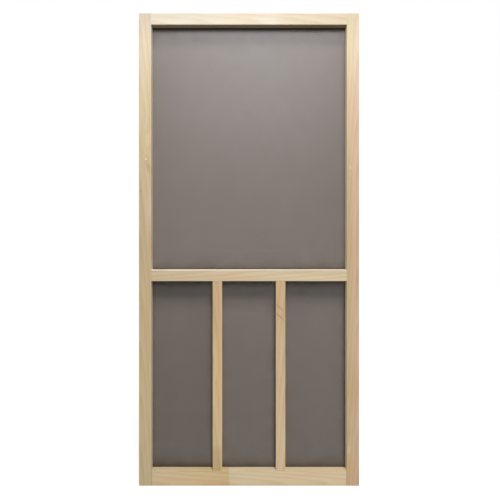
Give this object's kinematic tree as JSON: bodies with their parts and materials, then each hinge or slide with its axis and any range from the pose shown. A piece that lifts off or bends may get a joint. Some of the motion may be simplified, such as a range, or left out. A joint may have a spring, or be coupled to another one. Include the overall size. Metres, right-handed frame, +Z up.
{
  "type": "wooden screen door",
  "caption": "Bare pine screen door: mortised stiles and rails, an open upper light, mullions below, and insect screen splined into the back face.",
  "frame": {"origin": "foot of the hinge stile's outer edge, in the middle of the door's thickness", "axes": "+Z up along the stiles, +X from the hinge stile to the latch stile, front face towards -Y, screens on the +Y face"},
  "size_m": [0.9144, 0.0289, 1.962],
  "materials": {
    "pine": "bare planed and sanded pine",
    "insect_screen": "woven vinyl-coated glass yarn",
    "vinyl_spline": "ribbed extruded vinyl"
  },
  "bodies": {
    "root": {"hinge_stile": "pine", "latch_stile": "pine", "top_rail": "pine", "lock_rail": "pine", "bottom_rail": "pine", "left_mullion": "pine", "right_mullion": "pine", "upper_screen": "insect_screen", "lower_screen": "insect_screen", "upper_spline_top": "vinyl_spline", "upper_spline_bottom": "vinyl_spline", "upper_spline_left": "vinyl_spline", "upper_spline_right": "vinyl_spline", "lower_spline_top": "vinyl_spline", "lower_spline_bottom": "vinyl_spline", "lower_spline_left": "vinyl_spline", "lower_spline_right": "vinyl_spline"}
  },
  "joints": []
}
